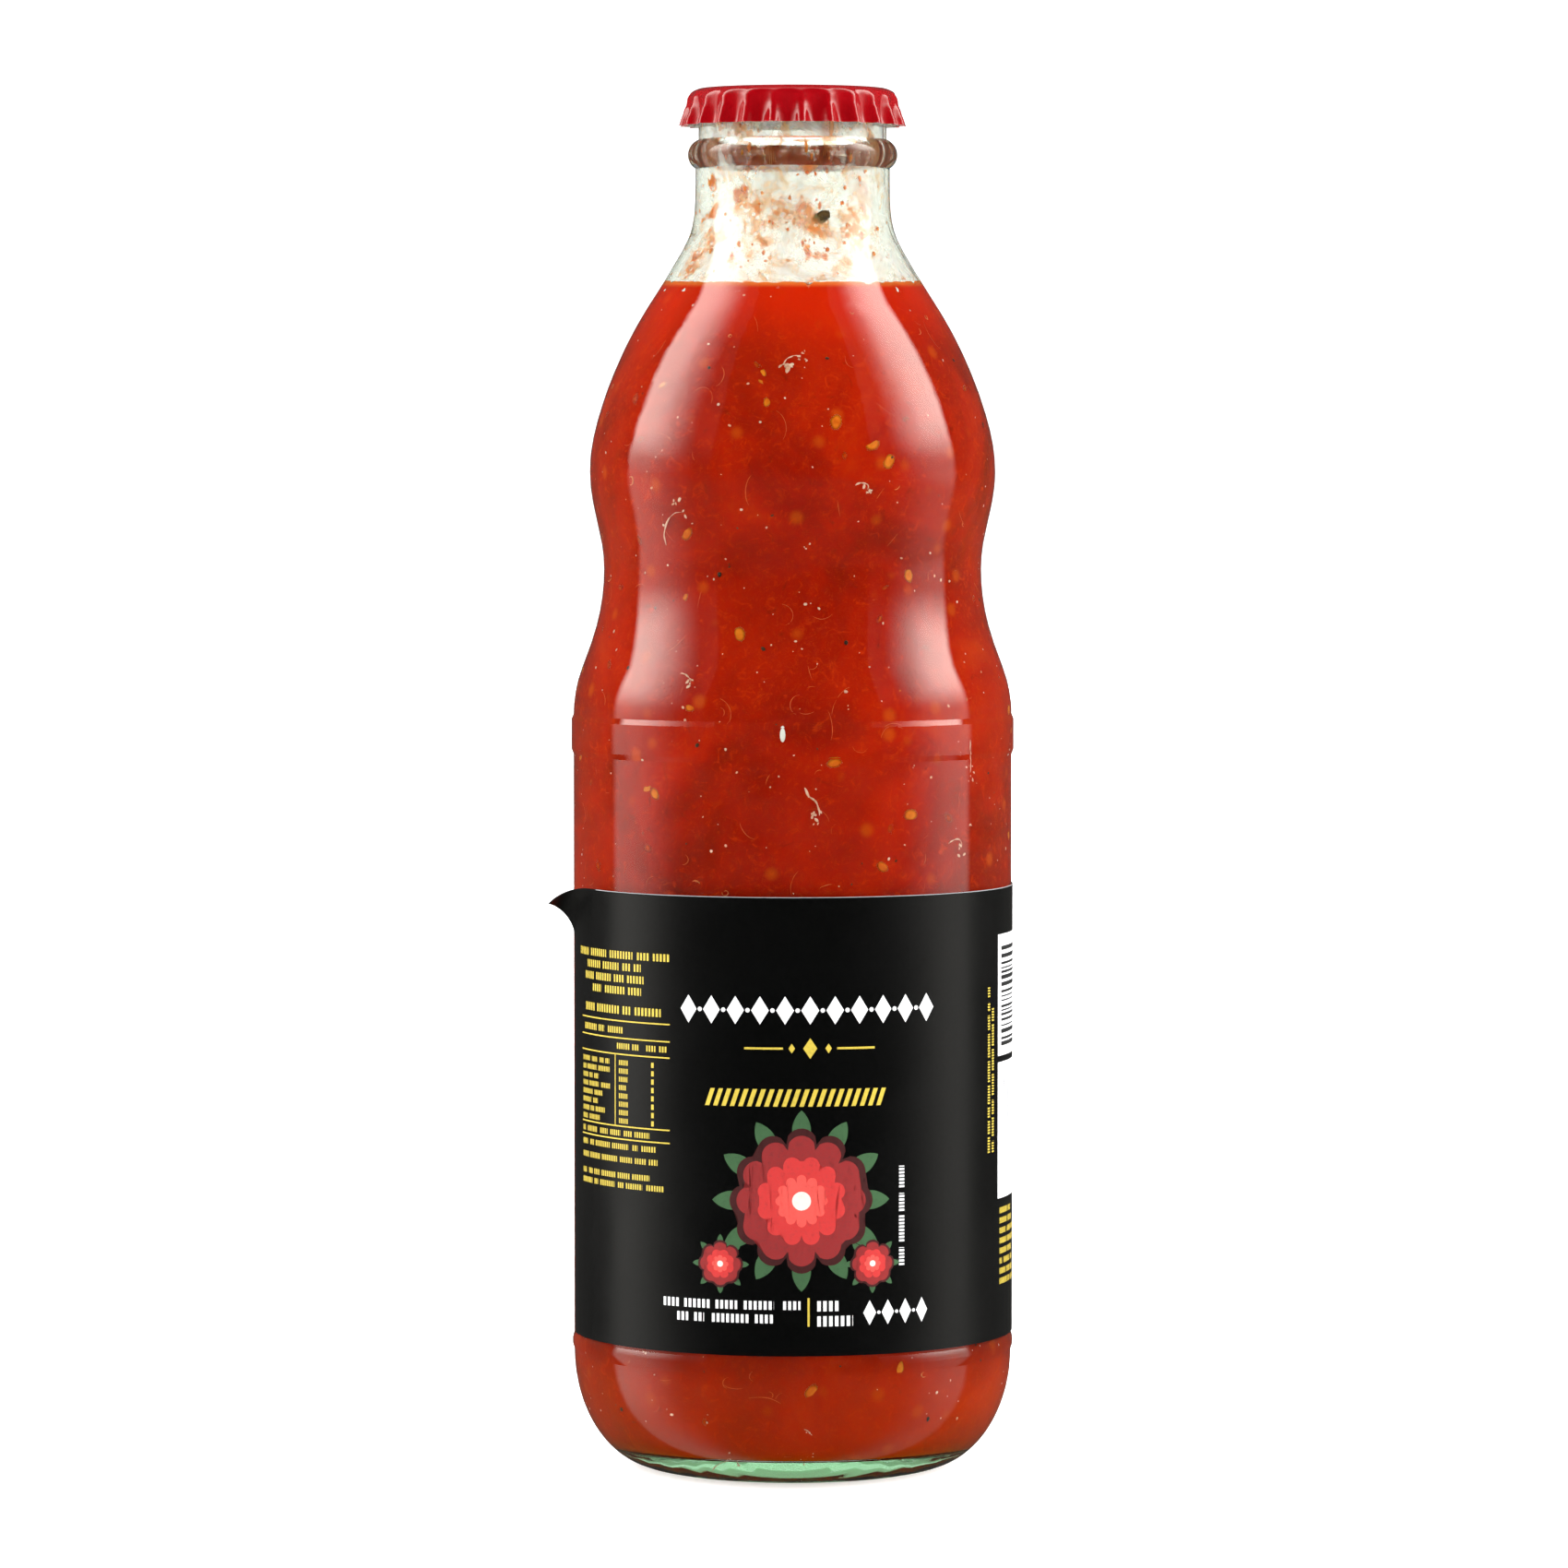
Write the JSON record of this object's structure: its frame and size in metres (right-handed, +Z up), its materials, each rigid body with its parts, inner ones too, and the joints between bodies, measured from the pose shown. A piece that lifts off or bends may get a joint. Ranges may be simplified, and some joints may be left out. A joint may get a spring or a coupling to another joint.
{
  "type": "jar of crushed tomatoes",
  "caption": "Tall waisted glass bottle of crushed tomatoes, shut by a fluted crown cap and wrapped with a wide paper label that has one lifted corner.",
  "frame": {"origin": "centre of the standing ring, on the surface the bottle stands on", "axes": "+Z up along the bottle's axis, -Y out of the middle of the label's front, +X to the right seen from the front"},
  "size_m": [0.0877, 0.0836, 0.2599],
  "materials": {
    "glass": "clear, smooth, faint green in thick places",
    "tomato": "wet, glossy",
    "lacquer": "glossy red lacquer",
    "paper": "satin black print"
  },
  "bodies": {
    "root": {"bottle": "glass", "crushed_tomatoes": "tomato", "cap": "lacquer", "label": "paper"}
  },
  "joints": []
}
